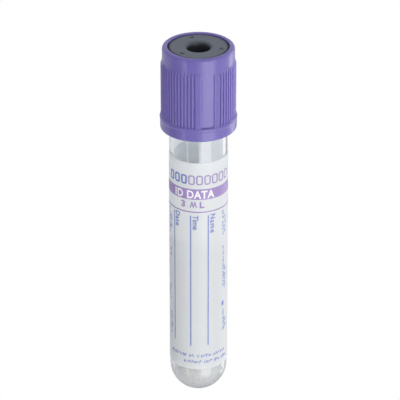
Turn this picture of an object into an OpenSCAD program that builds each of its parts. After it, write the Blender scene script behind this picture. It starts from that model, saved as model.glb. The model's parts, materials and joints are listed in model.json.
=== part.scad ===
// Blood collection tube: a round-bottomed clear tube with a wrap-round label, closed by a
// rubber stopper that a ribbed plastic cap holds.
// It stands upside down on the flat top of its cap, because it can't stand on its round bottom and
// rolls when it lies on its side. The label's print faces -Y. The origin is the middle of the cap's
// top, and Z is the tube's axis.

/* [Tube] */
// Outside diameter of the tube
tube_od = 12.8; // [11:0.1:16]
// Length of the tube, from the tip of its round bottom to its rim
tube_length = 75; // [60:0.5:100]
// Wall thickness of the tube
tube_wall = 1; // [0.8:0.05:1.3]
// Rounding of the rim's inner and outer edges
rim_round = 0.3; // [0.1:0.05:0.35]
// Diameter of the shallow mark that moulding leaves under the bottom
gate_d = 1.6; // [1:0.1:2.5]
// Depth of that mark
gate_depth = 0.15; // [0.1:0.05:0.3]

/* [Dried additive] */
// Thickness of the dried film on the inside of the tube
additive_film = 0.05; // [0.04:0.01:0.1]
// Height of the film above the tip
additive_height = 40; // [15:1:50]
// Space between the film's solid and the tube's wall
additive_gap = 0.02; // [0.01:0.01:0.05]

/* [Label] */
// Thickness of the label film
label_film = 0.08; // [0.05:0.01:0.15]
// Thickness of the adhesive under the film
label_glue = 0.02; // [0.01:0.01:0.05]
// Bare tube between the tip and the label
label_from_tip = 7.9; // [7:0.1:20]
// Bare tube between the label and the cap
label_from_cap = 5.95; // [2:0.05:15]
// Angle of the bare strip between the label's two ends
label_seam = 18; // [10:1:120]
// How far that strip is turned from the back of the label, towards the right of its print
label_seam_turn = 11; // [-60:1:60]

/* [Stopper] */
// Length of the plug inside the tube
plug_length = 8; // [6:0.1:8.5]
// Clearance of the plug all round in the tube
plug_fit = 0.05; // [0.02:0.01:0.1]
// Depth of the relief between the plug's two sealing bands
plug_relief = 0.25; // [0.1:0.05:0.4]
// Height of each sealing band
plug_band = 1.9; // [1.2:0.1:2.2]
// Size of the lead-in cone at the plug's end
plug_lead = 0.9; // [0.4:0.1:1.1]
// Diameter of the hollow in the plug's underside
plug_hollow_d = 5.6; // [3:0.1:6]
// Depth of that hollow
plug_hollow_depth = 5; // [2:0.1:6]
// Thickness of the flange that sits on the tube's rim
flange_height = 2.6; // [1.5:0.1:4]
// How far the flange stays inside the tube's outside diameter
flange_inset = 0.2; // [0:0.05:0.3]
// Thickness of the stopper's head, above the waist that the cap holds
head_height = 5.4; // [4:0.1:8]
// How far the head's upper face lies below the cap's top
head_recess = 0.2; // [0:0.05:0.6]
// How far the head stands proud of the tube's outside diameter
head_proud = 0.15; // [0:0.05:0.4]
// Rounding of the head's upper edge
head_round = 0.35; // [0.1:0.05:0.6]
// Depth of the waist
waist_depth = 0.8; // [0.5:0.05:1.2]
// Diameter of the needle well
well_d = 4.9; // [3:0.1:5.2]
// Rounding of the well's mouth
well_round = 1; // [0.2:0.05:1.2]
// Depth of the well
well_depth = 7.4; // [4:0.1:8]
// Diameter of the small moulding dimples in the head
dimple_d = 0.65; // [0.3:0.05:0.9]
// Depth of the dimples
dimple_depth = 0.4; // [0.2:0.05:0.8]
// Distance from the head's edge to the dimples' centres
dimple_inset = 1.5; // [1:0.1:1.8]
// Direction of the first dimple, from the right of the label's print
dimple_turn = -14; // [-60:1:60]

/* [Cap] */
// Clearance between the cap's bore and the stopper's head
head_gap = 0.16; // [0.05:0.01:0.3]
// Height of the inner ring that grips the stopper's waist
grip_ring_height = 1.8; // [1:0.1:3]
// Clearance between that ring and the waist
waist_gap = 0.05; // [0.02:0.01:0.15]
// Chamfer on the ring's inner edges
grip_ring_chamfer = 0.35; // [0.1:0.05:0.45]
// Length of the cap's skirt below the tube's rim
skirt_drop = 9.2; // [7:0.05:12]
// Clearance between the skirt and the tube
skirt_gap = 0.85; // [0.5:0.05:1.2]
// Wall thickness of the skirt and the upper ring
skirt_wall = 0.65; // [0.6:0.05:1.2]
// Rounding of the cap's upper outer edge
crown_round = 0.7; // [0.3:0.05:0.8]
// Rounding of the cap's upper inner edge
bore_round = 0.2; // [0.1:0.05:0.3]
// Height of the plain ring above the ribs
plain_ring_height = 3.15; // [2:0.05:5]
// Height of the slope in which the ribs rise
rib_slope = 0.9; // [0.4:0.1:2]
// Height of the ribs above the ring and the panels
rib_height = 0.3; // [0.15:0.05:0.45]
// Rounding of the ribs' edges
rib_round = 0.15; // [0.05:0.05:0.15]
// Smooth panels round the cap
panels = 3; // [2:1:3]
// Angle of each panel
panel_angle = 21; // [12:0.5:30]
// Angle of the broad rib on each side of a panel
broad_rib_angle = 9.1; // [4:0.1:12]
// Narrow ribs between two broad ones
narrow_ribs = 14; // [8:1:18]
// Direction of the first panel, from the right of the label's print
panel_turn = -75.6; // [-90:0.1:0]
// Height of the collar at the foot of the cap
collar_height = 3.25; // [2:0.05:5]
// How far the collar stands out from the upper ring
collar_proud = 0.49; // [0.45:0.01:0.8]
// How much further out the bead along the collar's upper edge stands
bead_proud = 0.08; // [0.04:0.01:0.2]
// Radius of that bead
bead_r = 0.6; // [0.4:0.05:0.8]
// Rounding of the collar's lower edge
collar_round = 0.5; // [0.1:0.05:0.7]

/* [Hidden] */
$fn = 128;
over = 0.1;                // how far a cut runs past the face that it opens

// Radii of the tube and of what it holds
tube_r = tube_od / 2;
bore_r = tube_r - tube_wall;
additive_r = bore_r - additive_gap;
plug_r = bore_r - plug_fit;

// Radii of the stopper and the cap
flange_r = tube_r - flange_inset;
head_r = tube_r + head_proud;
waist_r = head_r - waist_depth;
cap_bore_r = head_r + head_gap;
grip_ring_r = waist_r + waist_gap;
skirt_bore_r = tube_r + skirt_gap;
ring_r = skirt_bore_r + skirt_wall;
rib_r = ring_r + rib_height;
collar_r = ring_r + collar_proud;
bead_centre_r = collar_r + bead_proud - bead_r;

// Distances from the tube's tip, along the tube's axis
plug_foot = tube_length - plug_length;
flange_top = tube_length + flange_height;
head_foot = flange_top + grip_ring_height;
head_top = head_foot + head_height;
closure_top = head_top + head_recess;
skirt_foot = tube_length - skirt_drop;
collar_top = skirt_foot + collar_height;
bead_centre = collar_top - bead_r;
slope_top = closure_top - plain_ring_height;
label_foot = label_from_tip;
label_top = skirt_foot - label_from_cap;

// Ribs: grooves and narrow ribs share what a panel and its broad ribs leave of each sector
sector = 360 / panels;
groove_angle = (sector - panel_angle - 2 * broad_rib_angle) / (2 * narrow_ribs + 1);
rib_root = 0.3;            // how deep a rib is bedded in the skirt

// Direction of the back of the label, opposite its print
label_back = 90;

// Stands a piece on the cap's top. Each is drawn the other way up, with the tube's tip at the origin
// and the print at -Y
module stand() {
    translate([0, 0, closure_top]) rotate([0, 180, 0]) children();
}

// What a rounding takes off a section's corner; the solid lies towards [side, up] from it
module corner_cut(corner_r, height, rounding, side, up) {
    difference() {
        translate([corner_r + side * (rounding - over) / 2, height + up * (rounding - over) / 2])
            square(rounding + over, center = true);
        translate([corner_r + side * rounding, height + up * rounding]) circle(rounding);
    }
}

// Section of a round-bottomed rod whose tip would reach down to tube_r - radius
module round_bottomed(radius, top) {
    intersection() {
        translate([0, tube_r]) circle(radius);
        translate([0, tube_r - radius]) square(radius);
    }
    translate([0, tube_r]) square([radius, top - tube_r]);
}

module tube() {
    color("#DDE6EA", 0.4) stand() difference() {
        rotate_extrude() difference() {
            round_bottomed(tube_r, tube_length);
            round_bottomed(bore_r, tube_length + over);
            corner_cut(tube_r, tube_length, rim_round, -1, -1);
            corner_cut(bore_r, tube_length, rim_round, 1, -1);
        }
        translate([0, 0, -over]) cylinder(d = gate_d, h = gate_depth + over);
    }
}

module additive() {
    color("#F4F5F6", 0.5) stand() rotate_extrude() difference() {
        round_bottomed(additive_r, additive_height);
        round_bottomed(additive_r - additive_film, additive_height + over);
    }
}

module label() {
    seam_end = label_back - label_seam_turn + label_seam / 2;
    color("#E9EAF0") stand() rotate_extrude(angle = 360 - label_seam, start = seam_end)
        translate([tube_r + label_glue, label_foot]) square([label_film, label_top - label_foot]);
}

// Plug with two sealing bands and a lead-in cone, from its end up to the rim
module plug_section() {
    difference() {
        translate([0, plug_foot]) square([plug_r, plug_length + over]);
        translate([plug_r - plug_relief, plug_foot + plug_lead + plug_band])
            square([plug_relief + over, plug_length - plug_lead - 2 * plug_band]);
        polygon([[plug_r - plug_lead / 2, plug_foot - over], [plug_r - plug_lead / 2, plug_foot],
            [plug_r, plug_foot + plug_lead], [plug_r + over, plug_foot + plug_lead],
            [plug_r + over, plug_foot - over]]);
    }
}

// Needle well: a straight throat with a cone at its bottom
module well_section() {
    throat_r = well_d / 2;
    well_foot = head_top - well_depth;
    polygon([[0, well_foot], [throat_r, well_foot + throat_r / 2], [throat_r, head_top + over],
        [0, head_top + over]]);
    difference() {
        translate([throat_r - over, head_top - well_round]) square(well_round + over);
        translate([throat_r + well_round, head_top - well_round]) circle(well_round);
    }
}

module stopper() {
    color("#5F6470") stand() difference() {
        rotate_extrude() difference() {
            union() {
                plug_section();
                translate([0, tube_length]) square([flange_r, flange_height]);
                translate([0, flange_top - over]) square([waist_r, grip_ring_height + 2 * over]);
                translate([0, head_foot]) square([head_r, head_height]);
            }
            corner_cut(head_r, head_top, head_round, -1, -1);
            well_section();
            plug_hollow_section();
        }
        for (turn = [0, 120, 240])
            rotate(dimple_turn + turn) translate([head_r - dimple_inset, 0, head_top - dimple_depth])
                cylinder(d = dimple_d, h = dimple_depth + over);
    }
}

// Hollow in the plug's underside, with a domed roof
module plug_hollow_section() {
    hollow_r = plug_hollow_d / 2;
    dome_centre = plug_foot + plug_hollow_depth - hollow_r;
    translate([0, plug_foot - over]) square([hollow_r, dome_centre - plug_foot + over]);
    intersection() {
        translate([0, dome_centre]) circle(hollow_r);
        translate([0, dome_centre - over]) square(hollow_r + over);
    }
}

// One rib's section, standing out along +X with round edges
module rib_section(width) {
    edge = rib_r - rib_round;
    translate([ring_r - rib_root, -width / 2]) square([edge - ring_r + rib_root, width]);
    translate([edge - over, rib_round - width / 2]) square([rib_round + over, width - 2 * rib_round]);
    for (side = [-1, 1]) translate([edge, side * (width / 2 - rib_round)]) circle(rib_round, $fn = 24);
}

// All ribs: groups of narrow ribs between two broad ones, with a panel between groups
module ribs() {
    narrow = rib_r * groove_angle * PI / 180;
    broad = rib_r * broad_rib_angle * PI / 180;
    first = panel_angle / 2 + broad_rib_angle + 1.5 * groove_angle;
    intersection() {
        translate([0, 0, bead_centre]) linear_extrude(slope_top - bead_centre)
            for (group = [0 : panels - 1]) rotate(panel_turn + group * sector) {
                for (rib = [0 : narrow_ribs - 1]) rotate(first + 2 * rib * groove_angle) rib_section(narrow);
                for (side = [-1, 1])
                    rotate(side * (panel_angle + broad_rib_angle) / 2) rib_section(broad);
            }
        rotate_extrude() polygon([[0, skirt_foot], [rib_r + rib_height, skirt_foot],
            [rib_r + rib_height, slope_top - 2 * rib_slope], [ring_r, slope_top], [0, slope_top]]);
    }
}

// Collar at the foot of the cap, with a bead along its upper edge
module collar_section() {
    difference() {
        translate([skirt_bore_r, skirt_foot]) square([collar_r - skirt_bore_r, collar_height - bead_r]);
        corner_cut(collar_r, skirt_foot, collar_round, -1, 1);
    }
    translate([bead_centre_r, bead_centre]) circle(bead_r);
}

// Inside of the cap, from its open foot up to its crown
module cap_inside_section() {
    step = skirt_bore_r - cap_bore_r;
    polygon([[0, skirt_foot - over], [skirt_bore_r, skirt_foot - over], [skirt_bore_r, tube_length + over],
        [cap_bore_r, tube_length + over + step], [cap_bore_r, flange_top],
        [grip_ring_r + grip_ring_chamfer, flange_top], [grip_ring_r, flange_top + grip_ring_chamfer],
        [grip_ring_r, head_foot - grip_ring_chamfer], [grip_ring_r + grip_ring_chamfer, head_foot],
        [cap_bore_r, head_foot], [cap_bore_r, closure_top + over], [0, closure_top + over]]);
}

module cap() {
    color("#7466B4") stand() difference() {
        union() {
            rotate_extrude() {
                difference() {
                    translate([0, skirt_foot + collar_round])
                        square([ring_r, closure_top - skirt_foot - collar_round]);
                    corner_cut(ring_r, closure_top, crown_round, -1, -1);
                }
                collar_section();
            }
            ribs();
        }
        rotate_extrude() {
            cap_inside_section();
            corner_cut(cap_bore_r, closure_top, bore_round, 1, -1);
        }
    }
}

tube();
additive();
label();
stopper();
cap();
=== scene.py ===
import json
import math
import random

import bmesh
import bpy
from mathutils import Matrix, Vector


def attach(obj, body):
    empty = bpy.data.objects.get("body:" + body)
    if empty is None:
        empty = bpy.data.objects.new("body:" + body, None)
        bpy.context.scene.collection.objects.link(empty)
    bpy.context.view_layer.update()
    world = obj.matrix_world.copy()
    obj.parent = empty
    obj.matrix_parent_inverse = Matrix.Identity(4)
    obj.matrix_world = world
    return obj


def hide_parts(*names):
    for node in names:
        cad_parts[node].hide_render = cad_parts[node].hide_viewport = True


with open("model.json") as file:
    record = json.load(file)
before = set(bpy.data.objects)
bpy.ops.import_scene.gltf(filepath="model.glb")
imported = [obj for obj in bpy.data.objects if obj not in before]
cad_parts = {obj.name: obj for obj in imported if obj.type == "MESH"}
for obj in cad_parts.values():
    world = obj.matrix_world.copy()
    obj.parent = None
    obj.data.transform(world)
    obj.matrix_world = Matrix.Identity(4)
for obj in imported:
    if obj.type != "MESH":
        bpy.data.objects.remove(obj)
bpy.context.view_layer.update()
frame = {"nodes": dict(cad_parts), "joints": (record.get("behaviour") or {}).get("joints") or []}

# ---- Stance of the tube ----
# The tube stands upside down on its cap, so the way to the cap is down, against the way in which
# the tube pulls off. The print faces the front, and right is the right of its lettering.
MM = 0.001
axis = -Vector(frame["joints"][0]["axis"]).normalized()
facing = Vector((0, -1, 0))
right = axis.cross(facing)
closure_top = Vector((0, 0, 0))

# ---- Camera ----
# A long lens in front of the print, leaning over towards the cap so that the cap's top and the
# stopper in it show. That puts it below the floor, and the cap is at the top of the picture.
LEAN = math.radians(27.74)
DISTANCE = 588.4 * MM
BELOW_TOP = 41.7 * MM
LENS_MM, SENSOR_MM = 238.4, 36
AIM_RIGHT, AIM_UP = 0.34 * MM, 3.836 * MM
CLIP_NEAR, CLIP_FAR = 0.01, 20
looked_at = closure_top - axis * BELOW_TOP
to_camera = facing * math.cos(LEAN) + axis * math.sin(LEAN)
picture_up = axis * math.cos(LEAN) - facing * math.sin(LEAN)
camera_data = bpy.data.cameras.new("camera")
camera_data.lens, camera_data.sensor_width = LENS_MM, SENSOR_MM
camera_data.clip_start, camera_data.clip_end = CLIP_NEAR, CLIP_FAR
camera = bpy.data.objects.new("camera", camera_data)
bpy.context.scene.collection.objects.link(camera)
place = looked_at + to_camera * DISTANCE
back = (place - (looked_at + right * AIM_RIGHT + picture_up * AIM_UP)).normalized()
across = picture_up.cross(back).normalized()
turn = Matrix((across, back.cross(across), back)).transposed().to_4x4()
camera.matrix_world = Matrix.Translation(place) @ turn
bpy.context.scene.camera = camera

# ---- Tube ----
# Injection-moulded PET: clear and glossy, with a faint waviness along the wall from the moulding.
# The round bottom, where the plastic enters the mould, is less clear: softly matt. Its tip is
# greyer, a painted shade that stands in for darker reflections there.
WAVE_ALONG, WAVE_AROUND, WAVE_DEPTH = 30 * MM, 5 * MM, 0.05 * MM
POLISHED, MATT = 0.03, 0.24
MATT_FROM, MATT_FULL = 77.2 * MM, 79 * MM
TIP_SHADE_FROM, TIP_SHADE_FULL = 82.2 * MM, 84.4 * MM


def linear(hex_colour):
    """An sRGB hex colour as linear RGBA."""
    parts = [int(hex_colour[i:i + 2], 16) / 255 for i in (1, 3, 5)]
    return (*[c / 12.92 if c <= 0.04045 else ((c + 0.055) / 1.055) ** 2.4 for c in parts], 1)


def add(tree, kind, inputs=None, **settings):
    """Adds a shader node; an input's value is a plain value or another node's output."""
    node = tree.nodes.new("ShaderNode" + kind)
    for name, value in settings.items():
        setattr(node, name, value)
    for name, value in (inputs or {}).items():
        if isinstance(value, bpy.types.NodeSocket):
            tree.links.new(value, node.inputs[name])
        else:
            node.inputs[name].default_value = value
    return node


def new_material(name):
    """A node material with an output only, and its tree and output node."""
    made = bpy.data.materials.new(name)
    made.use_nodes = True
    made.node_tree.nodes.clear()
    return made, made.node_tree, add(made.node_tree, "OutputMaterial")


def pattern(tree, along, around):
    """Object coordinates with a unit of that many metres along the tube's axis and across it."""
    coordinates = add(tree, "TexCoord").outputs["Object"]
    scale = (1 / around, 1 / around, 1 / along)
    return add(tree, "Mapping", {"Vector": coordinates, "Scale": scale}).outputs["Vector"]


def finish_node(name, made):
    """Gives a CAD node its material."""
    node = frame["nodes"][name]
    node.data.materials.clear()
    node.data.materials.append(made)


def clear_pet():
    """PET moulded against polished steel: water clear, grey rims, painted shade at the tip."""
    made, tree, output = new_material("pet_moulded_clear")
    waves = add(tree, "TexNoise", {"Vector": pattern(tree, WAVE_ALONG, WAVE_AROUND), "Scale": 1.0,
                                   "Detail": 1.0})
    bump = add(tree, "Bump", {"Height": waves.outputs["Fac"], "Strength": 0.25,
                              "Distance": WAVE_DEPTH})
    down = add(tree, "SeparateXYZ", {0: add(tree, "TexCoord").outputs["Object"]}).outputs["Z"]
    matt = add(tree, "MapRange", {"Value": down, "From Min": MATT_FROM, "From Max": MATT_FULL,
                                  "To Min": POLISHED, "To Max": MATT})
    # Painted shade: the tip is tinted greyer, standing in for dark reflections there.
    tip_shade = add(tree, "MapRange", {"Value": down, "From Min": TIP_SHADE_FROM, "From Max": TIP_SHADE_FULL})
    tint_and_tip_shade = add(tree, "MixRGB", {"Fac": tip_shade.outputs["Result"], "Color1": linear("#F4F6F8"),
                                "Color2": linear("#D6D4CF")})
    glass = add(tree, "BsdfPrincipled", {"Base Color": tint_and_tip_shade.outputs["Color"],
                                         "Roughness": matt.outputs["Result"], "IOR": 1.575,
                                         "Transmission Weight": 1.0,
                                         "Normal": bump.outputs["Normal"]})
    through = add(tree, "BsdfTransparent", {"Color": linear("#FCFDFE")})
    rays = add(tree, "LightPath")
    mixed = add(tree, "MixShader", {0: rays.outputs["Is Shadow Ray"], 1: glass.outputs[0],
                                    2: through.outputs[0]})
    depth = add(tree, "VolumeAbsorption", {"Color": linear("#8F9499"), "Density": 95.0})
    tree.links.new(mixed.outputs[0], output.inputs["Surface"])
    tree.links.new(depth.outputs[0], output.inputs["Volume"])
    return made


finish_node("tube", clear_pet())

# ---- Additive ----
# The anticoagulant is sprayed into the tube as a fine mist and dried there. It leaves a thin
# whitish film of tiny droplets on the lower wall and the round bottom. They are too fine to show,
# so they are drawn coarser than they are.
DROPLET = 0.45 * MM
DRIFT_ALONG, DRIFT_AROUND = 6 * MM, 4 * MM


def dried_spray():
    """Dried salt: a matt milky film of droplets, thinner in some patches than in others."""
    made, tree, output = new_material("dried_spray_film")
    droplets = add(tree, "TexVoronoi", {"Vector": pattern(tree, DROPLET, DROPLET), "Scale": 1.0})
    patches = add(tree, "TexNoise", {"Vector": pattern(tree, DRIFT_ALONG, DRIFT_AROUND),
                                     "Scale": 1.0})
    dots = add(tree, "MapRange", {"Value": droplets.outputs["Distance"], "From Min": 0.2,
                                  "From Max": 0.6, "To Min": 0.6, "To Max": 0.45})
    drifts = add(tree, "MapRange", {"Value": patches.outputs["Fac"], "From Min": 0.3,
                                    "From Max": 0.7, "To Min": 0.8, "To Max": 1.0})
    cover = add(tree, "Math", {0: dots.outputs["Result"], 1: drifts.outputs["Result"]},
                operation="MULTIPLY")
    film = add(tree, "BsdfPrincipled", {"Base Color": linear("#ECEAE5"), "Roughness": 0.7,
                                        "Alpha": cover.outputs[0]})
    tree.links.new(film.outputs[0], output.inputs["Surface"])
    return made


finish_node("additive", dried_spray())

# ---- Stopper ----
# Butyl rubber, compression moulded in one piece. It is dull and slightly grainy on its face, and
# smoother down the needle well, where a polished core pin shaped it. Painted shade darkens the well
# with depth.
# Painted shade darkens the face's rim and a soft ring round each of the three dusty dimples.

# The powder's mottle is finer than this; it is drawn as coarse as it needs to show.
MOTTLE, RUBBER_GRAIN, RUBBER_RELIEF = 0.6 * MM, 0.12 * MM, 0.02 * MM
RIM_SHADE_INNER, RIM_SHADE_OUTER = 5.95 * MM, 6.3 * MM
MOUTH_INNER, MOUTH_OUTER = 3.2 * MM, 3.6 * MM
WELL_SHADE_FROM, WELL_SHADE_FULL = 0.24 * MM, 0.75 * MM
DIMPLES_R = 5.05 * MM
DIMPLE_TURNS = (-14, 106, 226)
DUST_INNER, DUST_OUTER = 0.32 * MM, 0.34 * MM
DIMPLE_SHADE_INNER, DIMPLE_SHADE_OUTER = 0.35 * MM, 0.9 * MM


def butyl_rubber():
    """Bromobutyl rubber: mid grey with a blue cast, matt, with a fine powdery mottle."""
    made, tree, output = new_material("bromobutyl_rubber_moulded")
    mottle = add(tree, "TexNoise", {"Vector": pattern(tree, MOTTLE, MOTTLE), "Scale": 1.0,
                                    "Detail": 4.0})
    face = add(tree, "MixRGB", {"Fac": mottle.outputs["Fac"], "Color1": linear("#595F69"),
                                "Color2": linear("#696F79")})
    place_on = add(tree, "TexCoord").outputs["Object"]
    flat = add(tree, "Mapping", {"Vector": place_on, "Scale": (1, 1, 0)})
    from_axis = add(tree, "VectorMath", {0: flat.outputs["Vector"]}, operation="LENGTH")
    # Painted shade round the rim of the face, where it meets the cap's bore.
    rim_shade = add(tree, "MapRange", {"Value": from_axis.outputs["Value"], "From Min": RIM_SHADE_INNER,
                                 "From Max": RIM_SHADE_OUTER})
    rim_shaded = add(tree, "MixRGB", {"Fac": rim_shade.outputs["Result"], "Color1": face.outputs["Color"],
                                   "Color2": linear("#343848")})
    to_dimple = None
    for turn in DIMPLE_TURNS:
        towards = right * math.cos(math.radians(turn)) - facing * math.sin(math.radians(turn))
        reach = add(tree, "VectorMath", {0: flat.outputs["Vector"], 1: towards * DIMPLES_R},
                    operation="DISTANCE").outputs["Value"]
        if to_dimple is None:
            to_dimple = reach
        else:
            to_dimple = add(tree, "Math", {0: to_dimple, 1: reach}, operation="MINIMUM").outputs[0]
    # Painted shade: a soft dark ring round each dimple.
    dimple_shade = add(tree, "MapRange", {"Value": to_dimple, "From Min": DIMPLE_SHADE_INNER,
                                   "From Max": DIMPLE_SHADE_OUTER, "To Min": 0.6, "To Max": 0.0})
    dimple_shaded = add(tree, "MixRGB", {"Fac": dimple_shade.outputs["Result"],
                                   "Color1": rim_shaded.outputs["Color"],
                                   "Color2": linear("#383C45")})
    dust = add(tree, "MapRange", {"Value": to_dimple, "From Min": DUST_INNER,
                                  "From Max": DUST_OUTER, "To Min": 1.0, "To Max": 0.0})
    marked = add(tree, "MixRGB", {"Fac": dust.outputs["Result"], "Color1": dimple_shaded.outputs["Color"],
                                  "Color2": linear("#757B84")})
    # Painted shade down the needle well: the rubber darkens with depth below the well's mouth.
    near = add(tree, "MapRange", {"Value": from_axis.outputs["Value"], "From Min": MOUTH_INNER,
                                  "From Max": MOUTH_OUTER, "To Min": 1.0, "To Max": 0.0})
    depth = add(tree, "SeparateXYZ", {0: place_on}).outputs["Z"]
    deep_shade = add(tree, "MapRange", {"Value": depth, "From Min": WELL_SHADE_FROM,
                                  "From Max": WELL_SHADE_FULL})
    well_shade_and_gloss = add(tree, "Math", {0: near.outputs["Result"], 1: deep_shade.outputs["Result"]},
                  operation="MULTIPLY")
    colour = add(tree, "MixRGB", {"Fac": well_shade_and_gloss.outputs[0], "Color1": marked.outputs["Color"],
                                  "Color2": linear("#2E3139")})
    sheen = add(tree, "MapRange", {"Value": well_shade_and_gloss.outputs[0], "To Min": 0.62, "To Max": 0.45})
    grain = add(tree, "TexNoise", {"Vector": pattern(tree, RUBBER_GRAIN, RUBBER_GRAIN),
                                   "Scale": 1.0, "Detail": 2.0})
    bump = add(tree, "Bump", {"Height": grain.outputs["Fac"], "Strength": 0.35,
                              "Distance": RUBBER_RELIEF})
    rubber = add(tree, "BsdfPrincipled", {"Base Color": colour.outputs["Color"],
                                          "Roughness": sheen.outputs["Result"], "IOR": 1.52,
                                          "Normal": bump.outputs["Normal"]})
    tree.links.new(rubber.outputs[0], output.inputs["Surface"])
    return made


finish_node("stopper", butyl_rubber())

# ---- Cap ----
# Polyethylene, injection moulded in one piece with its ribs and collar. The lilac colour is in
# the plastic; light sinks in a little, and the satin surface gives broad soft reflections.
# The mould's texture is finer than the grain here, which is drawn as coarse as it needs to show.
CLOUD_ALONG, CLOUD_AROUND = 5 * MM, 3 * MM
CAP_GRAIN, CAP_RELIEF = 0.25 * MM, 0.01 * MM
SOFT_EDGE = 0.2 * MM
LIGHT_SINKS = 1.3 * MM


def satin_polyethylene():
    """Polyethylene: lilac purple, satin, soft edges where the mould's corners are rounded."""
    made, tree, output = new_material("polyethylene_moulded_lilac")
    clouds = add(tree, "TexNoise", {"Vector": pattern(tree, CLOUD_ALONG, CLOUD_AROUND),
                                    "Scale": 1.0, "Detail": 3.0})
    colour = add(tree, "MixRGB", {"Fac": clouds.outputs["Fac"], "Color1": linear("#756AB0"),
                                  "Color2": linear("#7C72B6")})
    grain = add(tree, "TexNoise", {"Vector": pattern(tree, CAP_GRAIN, CAP_GRAIN), "Scale": 1.0,
                                   "Detail": 2.0})
    gloss = add(tree, "MapRange", {"Value": grain.outputs["Fac"], "To Min": 0.2, "To Max": 0.3})
    edges = add(tree, "Bevel", {"Radius": SOFT_EDGE}, samples=8)
    bump = add(tree, "Bump", {"Height": grain.outputs["Fac"], "Strength": 0.06,
                              "Distance": CAP_RELIEF, "Normal": edges.outputs["Normal"]})
    plastic = add(tree, "BsdfPrincipled", {"Base Color": colour.outputs["Color"],
                                           "Roughness": gloss.outputs["Result"], "IOR": 1.51,
                                           "Subsurface Weight": 0.7,
                                           "Subsurface Radius": (0.8, 0.6, 1.0),
                                           "Subsurface Scale": LIGHT_SINKS,
                                           "Normal": bump.outputs["Normal"]})
    tree.links.new(plastic.outputs[0], output.inputs["Surface"])
    return made


finish_node("cap", satin_polyethylene())

# ---- Label ----
# A white plastic film with adhesive, wrapped round the tube. Its ends stop short of each other and
# leave a window on the right of the back, through which the level in the tube is read.
STREAK_ALONG, STREAK_AROUND, STREAK_RELIEF = 60 * MM, 0.8 * MM, 0.02 * MM
LETS_THROUGH = 0.54
FILM_LEFT, FILM_RIGHT = -182, 95
FILM_STEPS = 138
SHARP_EDGE = math.radians(30)


def label_film():
    """Polypropylene film: white, satin and translucent, with faint streaks along the web."""
    made, tree, output = new_material("polypropylene_film_white")
    streaks = add(tree, "TexNoise", {"Vector": pattern(tree, STREAK_ALONG, STREAK_AROUND),
                                     "Scale": 1.0, "Detail": 3.0})
    colour = add(tree, "MixRGB", {"Fac": streaks.outputs["Fac"], "Color1": linear("#F6F8F9"),
                                  "Color2": linear("#FCFDFD")})
    gloss = add(tree, "MapRange", {"Value": streaks.outputs["Fac"], "To Min": 0.42, "To Max": 0.52})
    bump = add(tree, "Bump", {"Height": streaks.outputs["Fac"], "Strength": 0.1,
                              "Distance": STREAK_RELIEF})
    front = add(tree, "BsdfPrincipled", {"Base Color": colour.outputs["Color"],
                                         "Roughness": gloss.outputs["Result"], "IOR": 1.49,
                                         "Normal": bump.outputs["Normal"]})
    behind = add(tree, "BsdfTranslucent", {"Color": colour.outputs["Color"]})
    film = add(tree, "MixShader", {0: LETS_THROUGH, 1: front.outputs[0], 2: behind.outputs[0]})
    tree.links.new(film.outputs[0], output.inputs["Surface"])
    return made


label_points = [v.co for v in frame["nodes"]["label"].data.vertices]
label_r = max(math.hypot(point.x, point.y) for point in label_points)
film_wall = label_r - min(math.hypot(point.x, point.y) for point in label_points)
label_head = Vector((0, 0, min(point.z for point in label_points)))
label_length = max(point.z for point in label_points) - label_head.z
film = bmesh.new()
strip = bmesh.ops.create_grid(film, x_segments=1, y_segments=1, size=0.5)["verts"]
bmesh.ops.scale(film, vec=(film_wall, label_length, 1), verts=strip)
stand_up = Matrix((facing, axis, facing.cross(axis))).transposed()
bmesh.ops.rotate(film, cent=(0, 0, 0), matrix=stand_up, verts=strip)
strip_middle = label_head + facing * (label_r - film_wall / 2) - axis * label_length / 2
bmesh.ops.translate(film, vec=strip_middle, verts=strip)
bmesh.ops.rotate(film, cent=(0, 0, 0), verts=strip,
                 matrix=Matrix.Rotation(math.radians(FILM_LEFT), 3, axis))
bmesh.ops.spin(film, geom=film.verts[:] + film.edges[:] + film.faces[:], cent=(0, 0, 0), axis=axis,
               angle=math.radians(FILM_RIGHT - FILM_LEFT), steps=FILM_STEPS)
bmesh.ops.recalc_face_normals(film, faces=film.faces)
for edge in film.edges:
    edge.smooth = edge.calc_face_angle() < SHARP_EDGE
for face in film.faces:
    face.smooth = True
film_mesh = bpy.data.meshes.new("label_film")
film.to_mesh(film_mesh)
film.free()
film_mesh.materials.append(label_film())
label = bpy.data.objects.new("label_film", film_mesh)
bpy.context.scene.collection.objects.link(label)
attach(label, "tube")
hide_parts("label")

# ---- Print ----
# Three inks on the film: blue writing lines and small print, a lilac band, and white lettering on
# the band. Each ink is a thin layer with its own mesh, drawn flat and then wrapped on the label.
INK = 0.012 * MM
INK_LIFT = 0.004 * MM
WRAP_STEP = math.radians(2)
INK_MOTTLE = 0.5 * MM
FONT_CAPITAL = 0.729
CORNER_STEPS = 4


def arc(degrees):
    """The way round the label in mm, to that many degrees right of the middle of the print."""
    return math.radians(degrees) * label_r / MM


def bar(mesh, left, top, width, height):
    """A flat field of ink, in mm to the right of the print's middle and below the label's head."""
    made = bmesh.ops.create_cube(mesh, size=1)["verts"]
    bmesh.ops.scale(mesh, vec=(width * MM, height * MM, INK), verts=made)
    middle = ((left + width / 2) * MM, -(top + height / 2) * MM, INK / 2)
    bmesh.ops.translate(mesh, vec=middle, verts=made)


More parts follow.
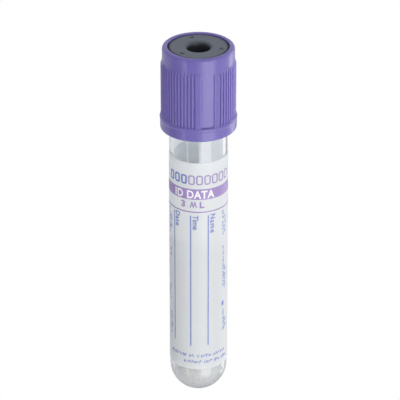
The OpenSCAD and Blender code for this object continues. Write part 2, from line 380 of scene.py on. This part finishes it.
def number_cell(mesh, left, top, width, height, line, corner):
    """The rounded outline of a cell for one handwritten digit."""
    corners = bmesh.ops.create_grid(mesh, x_segments=1, y_segments=1, size=0.5)["verts"]
    bmesh.ops.scale(mesh, vec=(width * MM, height * MM, 1), verts=corners)
    middle = ((left + width / 2) * MM, -(top + height / 2) * MM, 0)
    bmesh.ops.translate(mesh, vec=middle, verts=corners)
    rounded = bmesh.ops.bevel(mesh, geom=corners, offset=corner * MM, affect="VERTICES",
                              segments=CORNER_STEPS, profile=0.5, material=-1)
    inside = {face for v in rounded["verts"] for face in v.link_faces}
    line_faces = bmesh.ops.inset_region(mesh, faces=list(inside), thickness=line * MM,
                                        use_boundary=True, use_even_offset=True)["faces"]
    bmesh.ops.delete(mesh, geom=list(inside), context="FACES")
    raised = bmesh.ops.extrude_face_region(mesh, geom=line_faces)["geom"]
    raised_verts = [v for v in raised if isinstance(v, bmesh.types.BMVert)]
    bmesh.ops.translate(mesh, vec=(0, 0, INK), verts=raised_verts)


def words(mesh, text, left, top, height, turned=False, bold=0.0, spacing=1.0, wide=1.0,
          flipped=False):
    """Lettering of that capital height.

    Turned lettering reads down the tube. Flipped lettering is turned over, half a turn.
    """
    curve = bpy.data.curves.new(text, "FONT")
    curve.body = text
    curve.extrude = INK / 2
    curve.offset = bold
    curve.space_character = spacing
    curve.size = 1.0
    letters = bpy.data.objects.new(text, curve)
    bpy.context.scene.collection.objects.link(letters)
    bpy.context.view_layer.update()
    shown = letters.evaluated_get(bpy.context.evaluated_depsgraph_get())
    flat = bpy.data.meshes.new_from_object(shown)
    bpy.data.objects.remove(letters)
    drawn = bmesh.new()
    drawn.from_mesh(flat)
    bmesh.ops.remove_doubles(drawn, verts=drawn.verts, dist=1e-6)
    size = height * MM / FONT_CAPITAL
    if flipped:
        bmesh.ops.rotate(drawn, cent=(0, FONT_CAPITAL / 2, 0), verts=drawn.verts,
                         matrix=Matrix.Rotation(math.pi, 3, "Z"))
    across = [v.co.x for v in drawn.verts]
    bmesh.ops.translate(drawn, vec=(-min(across), 0, INK / 2), verts=drawn.verts)
    bmesh.ops.scale(drawn, vec=(size * wide, size, 1), verts=drawn.verts)
    if turned:
        bmesh.ops.rotate(drawn, cent=(0, 0, 0), verts=drawn.verts,
                         matrix=Matrix.Rotation(math.radians(-90), 3, "Z"))
        bmesh.ops.translate(drawn, vec=(left * MM, -top * MM, 0), verts=drawn.verts)
    else:
        bmesh.ops.translate(drawn, vec=(left * MM, -(top + height) * MM, 0), verts=drawn.verts)
    drawn.to_mesh(flat)
    drawn.free()
    mesh.from_mesh(flat)
    bpy.data.meshes.remove(flat)


def wrapped(name, mesh, made, lift=INK_LIFT):
    """Slices the flat ink into narrow strips, bends it round the label and makes it a piece."""
    widest = max(abs(v.co.x) for v in mesh.verts)
    strips = int(widest / label_r / WRAP_STEP) + 1
    for strip in range(-strips, strips + 1):
        everything = mesh.verts[:] + mesh.edges[:] + mesh.faces[:]
        bmesh.ops.bisect_plane(mesh, geom=everything, dist=1e-8, plane_no=(1, 0, 0),
                               plane_co=(strip * WRAP_STEP * label_r, 0, 0))
    for v in mesh.verts:
        angle = v.co.x / label_r
        out = facing * math.cos(angle) + right * math.sin(angle)
        v.co = label_head + axis * v.co.y + out * (label_r + lift + v.co.z)
    bmesh.ops.recalc_face_normals(mesh, faces=mesh.faces)
    data = bpy.data.meshes.new(name)
    mesh.to_mesh(data)
    mesh.free()
    data.materials.append(made)
    piece = bpy.data.objects.new(name, data)
    bpy.context.scene.collection.objects.link(piece)
    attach(piece, "tube")
    return piece


def ink(name, hex_colour, thin_hex):
    """Flexographic ink: an even colour that thins slightly in a fine mottle, satin on the film."""
    made, tree, output = new_material(name)
    mottle = add(tree, "TexNoise", {"Vector": pattern(tree, INK_MOTTLE, INK_MOTTLE), "Scale": 1.0,
                                    "Detail": 3.0})
    thin = add(tree, "MapRange", {"Value": mottle.outputs["Fac"], "From Min": 0.45,
                                  "From Max": 0.75})
    colour = add(tree, "MixRGB", {"Fac": thin.outputs["Result"], "Color1": linear(hex_colour),
                                  "Color2": linear(thin_hex)})
    layer = add(tree, "BsdfPrincipled", {"Base Color": colour.outputs["Color"],
                                         "Roughness": 0.42, "IOR": 1.49})
    tree.links.new(layer.outputs[0], output.inputs["Surface"])
    return made


blue_ink = ink("flexographic_ink_blue", "#7382C8", "#8C98D2")
lilac_ink = ink("flexographic_ink_lilac", "#9C86BC", "#A995C6")
white_ink = ink("flexographic_ink_white", "#F4F2F8", "#EAE6F2")
random.seed(13)

# Lilac: the band right round the label, the volume, the ruled line under it and most number cells.
# The band stops short of the film's ends. The M is a W turned over, because the font's own M fills
# in when it is thickened. Sizes are in mm from here on.
BAND_INSET = 1
BAND_TOP, BAND_HEIGHT = 6.3, 2.55
RULE_TOP, RULE_HEIGHT = 11.8, 0.26
VOLUME_TOP, VOLUME_HEIGHT, VOLUME_BOLD = 9.35, 1.5, 0.034
CELL_W, CELL_H, CELL_STEP, CELL_TOP, CELL_CORNER = 1.45, 2.3, 1.78, 2.95, 0.5
CELLS_FROM = arc(-20)
THIN_LINE, THICK_LINE = 0.28, 0.4
lilac = bmesh.new()
band_from, band_length = arc(FILM_LEFT + BAND_INSET), arc(FILM_RIGHT - FILM_LEFT - 2 * BAND_INSET)
bar(lilac, band_from, BAND_TOP, band_length, BAND_HEIGHT)
bar(lilac, band_from, RULE_TOP, band_length, RULE_HEIGHT)
words(lilac, "3", -4.0, VOLUME_TOP, VOLUME_HEIGHT, bold=VOLUME_BOLD, wide=1.1)
words(lilac, "W", -1.92, VOLUME_TOP, VOLUME_HEIGHT, bold=VOLUME_BOLD, wide=0.68, flipped=True)
words(lilac, "L", 0.25, VOLUME_TOP, VOLUME_HEIGHT, bold=VOLUME_BOLD, wide=1.1)
for cell in range(6):
    number_cell(lilac, CELLS_FROM + cell * CELL_STEP, CELL_TOP, CELL_W, CELL_H, THIN_LINE,
                CELL_CORNER)
wrapped("print_lilac", lilac, lilac_ink)

# White: the words on the band, which lie on its ink
TITLE_LEFT, TITLE_TOP, TITLE_HEIGHT = -5.7, 6.62, 1.9
white = bmesh.new()
words(white, "ID DATA", TITLE_LEFT, TITLE_TOP, TITLE_HEIGHT, bold=0.03, wide=0.84, spacing=1.1)
wrapped("print_white", white, white_ink, lift=INK_LIFT + INK + 0.002 * MM)

# Blue: three number cells, the writing lines with their words, small print down both sides and two
# rows of it round the foot. The small print is drawn as short strokes, as it is too fine to read.
WRITING_LINE = 0.26
WORD_HEIGHT, WORD_BOLD, WORD_ABOVE = 1.25, 0.022, 0.1
blue = bmesh.new()
for cell in range(-3, 0):
    number_cell(blue, CELLS_FROM + cell * CELL_STEP, CELL_TOP, CELL_W, CELL_H, THICK_LINE,
                CELL_CORNER)
for angle, word, head, foot, gap, spread in ((-53.6, "Date", 12.6, 45.4, 0.45, 1.15),
                                             (-15.4, "Time", 12.85, 45.9, 0.5, 1.0),
                                             (19.5, "Name", 12.8, 45.8, 0.5, 1.2)):
    bar(blue, arc(angle) - WRITING_LINE / 2, head, WRITING_LINE, foot - head)
    words(blue, word, arc(angle) + gap, head - WORD_ABOVE, WORD_HEIGHT, turned=True,
          bold=WORD_BOLD, spacing=spread)

SIDE_HEIGHT, SIDE_STROKE = 0.7, 0.15
FOOT_HEIGHT, FOOT_STROKE = 0.75, 0.19
MARK_TOP, MARK_W, MARK_H = 35.8, 0.75, 1.1
LETTER_KINDS = (((0.0, 1.0),), ((0.3, 1.0),), ((0.3, 0.55), (0.7, 1.0)), ((0.3, 1.0),),
                ((0.0, 0.6),))


def small_print(mesh, start, end, edge, height, stroke, turned):
    """A row of strokes in words, too fine to read, from start to end with its top at edge."""
    at = start
    while at < end:
        for letter in range(random.randint(2, 8)):
            for low, high in random.choice(LETTER_KINDS):
                if turned:
                    bar(mesh, edge + height * (1 - high), at, height * (high - low), stroke)
                else:
                    bar(mesh, at, edge + height * low, stroke, height * (high - low))
            at += stroke * random.uniform(1.5, 2.2)
            if at > end:
                return
        at += stroke * random.uniform(1, 3)


for angle, start, end in ((54, 12.8, 19.0), (61, 14.2, 18.5), (55, 21.8, 32.0), (61, 27.0, 32.5),
                          (56, 38.0, 43.4), (61, 40.2, 42.6), (-76, 12.6, 19.0), (-68, 14.0, 17.5),
                          (-71, 22.6, 25.0), (-74, 32.0, 35.5), (-69, 38.8, 44.5)):
    small_print(blue, start, end, arc(angle), SIDE_HEIGHT, SIDE_STROKE, True)
bar(blue, arc(53), MARK_TOP, MARK_W, MARK_H)
for start, end, top in ((-64, 66, 48.05), (-30, 68, 49.6)):
    small_print(blue, arc(start), arc(end), top, FOOT_HEIGHT, FOOT_STROKE, False)
wrapped("print_blue", blue, blue_ink)

# ---- Floor ----
# A plain pale table top that keeps the tube's soft shadow. It is one-sided: from below, where the
# camera is, nothing of it shows, and light passes it so that the cap's top is lit.
UNDER = 0.05 * MM
FLOOR_HALF = 3.0
FLOOR_GLOW = 0.62
sheet = bmesh.new()
bmesh.ops.create_grid(sheet, x_segments=1, y_segments=1, size=FLOOR_HALF)
bmesh.ops.translate(sheet, vec=(0, 0, -UNDER), verts=sheet.verts)
floor_mesh = bpy.data.meshes.new("floor")
sheet.to_mesh(floor_mesh)
sheet.free()
floor = bpy.data.objects.new("floor", floor_mesh)
bpy.context.scene.collection.objects.link(floor)
floor.visible_shadow = floor.visible_diffuse = False
floor.visible_glossy = floor.visible_transmission = False


def pale_table():
    """Matt white laminate, lifted towards white because it is the background."""
    made, tree, output = new_material("laminate_white_matt")
    lit = add(tree, "BsdfDiffuse", {"Color": linear("#AEAFB1")})
    glow = add(tree, "Emission", {"Color": (1, 1, 1, 1), "Strength": FLOOR_GLOW})
    top = add(tree, "AddShader", {0: lit.outputs[0], 1: glow.outputs[0]})
    side = add(tree, "NewGeometry").outputs["Backfacing"]
    beneath = add(tree, "BsdfTransparent")
    one_sided = add(tree, "MixShader", {0: side, 1: top.outputs[0], 2: beneath.outputs[0]})
    tree.links.new(one_sided.outputs[0], output.inputs["Surface"])
    return made


floor_mesh.materials.append(pale_table())

# ---- Light ----
# A broad soft box on the right of the print, a second one far round on the right, a third one
# behind that lights the label through, and a narrow one on the left for the thin bright line on cap
# and tube. A dark card on the left shades the reflections there, and the room is plain and pale.
BOX_DISTANCE, BOX_LENGTH, BOX_HEIGHT = 0.5, 0.8, 0.12
BACK_SPREAD = math.radians(70)


def soft_box(name, turn, width, watts):
    """A box lamp that faces the tube; turn is in degrees from the front to the print's right."""
    lamp = bpy.data.lights.new(name, "AREA")
    lamp.shape, lamp.size, lamp.size_y, lamp.energy = "RECTANGLE", width, BOX_LENGTH, watts
    holder = bpy.data.objects.new(name, lamp)
    bpy.context.scene.collection.objects.link(holder)
    holder.visible_camera = holder.visible_transmission = False
    away = facing * math.cos(math.radians(turn)) + right * math.sin(math.radians(turn))
    upwards = Vector((0, 0, 1))
    facing_in = Matrix((upwards.cross(away), upwards, away)).transposed().to_4x4()
    holder.matrix_world = Matrix.Translation(away * BOX_DISTANCE + upwards * BOX_HEIGHT) @ facing_in
    return holder


soft_box("broad_box", 31, 0.36, 2.1)
soft_box("side_box", 122, 0.2, 0.85)
back_box = soft_box("back_box", 180, 0.7, 1.35)
back_box.visible_glossy = False
back_box.data.spread = BACK_SPREAD
soft_box("narrow_box", -44, 0.05, 0.45)

CARD_TURN = math.radians(-48)
CARD_DISTANCE, CARD_WIDTH, CARD_LENGTH = 0.6, 1.15, 1.6
card = bmesh.new()
bmesh.ops.create_grid(card, x_segments=1, y_segments=1, size=0.5)
bmesh.ops.scale(card, vec=(CARD_WIDTH, CARD_LENGTH, 1), verts=card.verts)
card_away = facing * math.cos(CARD_TURN) + right * math.sin(CARD_TURN)
card_up = Vector((0, 0, 1))
card_faces = Matrix((card_up.cross(card_away), card_up, card_away)).transposed()
bmesh.ops.rotate(card, cent=(0, 0, 0), matrix=card_faces, verts=card.verts)
bmesh.ops.translate(card, vec=card_away * CARD_DISTANCE, verts=card.verts)
card_mesh = bpy.data.meshes.new("dark_card")
card.to_mesh(card_mesh)
card.free()
black, tree, output = new_material("card_black_matt")
paper = add(tree, "BsdfDiffuse", {"Color": linear("#2A2A2E")})
tree.links.new(paper.outputs[0], output.inputs["Surface"])
card_mesh.materials.append(black)
dark_card = bpy.data.objects.new("dark_card", card_mesh)
bpy.context.scene.collection.objects.link(dark_card)
dark_card.visible_camera = dark_card.visible_shadow = dark_card.visible_diffuse = False
dark_card.visible_transmission = False

# The room is white to the camera, almost so through the tube's wall, and greyer where it lights or
# is mirrored, as in a studio whose walls lie in half shadow.
ROOM_LIT, ROOM_GLOSS, ROOM_THROUGH = 0.54, 0.75, 0.98
ROOM_TINT = (0.96, 0.97, 1.0, 1)
world = bpy.data.worlds.new("room")
bpy.context.scene.world = world
world.use_nodes = True
air = world.node_tree
air.nodes.clear()
rays = add(air, "LightPath")
mirrored = add(air, "MapRange", {"Value": rays.outputs["Is Glossy Ray"], "To Min": ROOM_LIT,
                                 "To Max": ROOM_GLOSS})
strength = add(air, "MapRange", {"Value": rays.outputs["Is Transmission Ray"],
                                 "To Min": mirrored.outputs["Result"], "To Max": ROOM_THROUGH})
room = add(air, "Background", {"Color": ROOM_TINT, "Strength": strength.outputs["Result"]})
backdrop = add(air, "Background", {"Color": (1, 1, 1, 1), "Strength": 1.0})
both = add(air, "MixShader", {0: rays.outputs["Is Camera Ray"], 1: room.outputs[0],
                              2: backdrop.outputs[0]})
air.links.new(both.outputs[0], add(air, "OutputWorld").inputs["Surface"])
bpy.context.scene.view_settings.view_transform = "Standard"
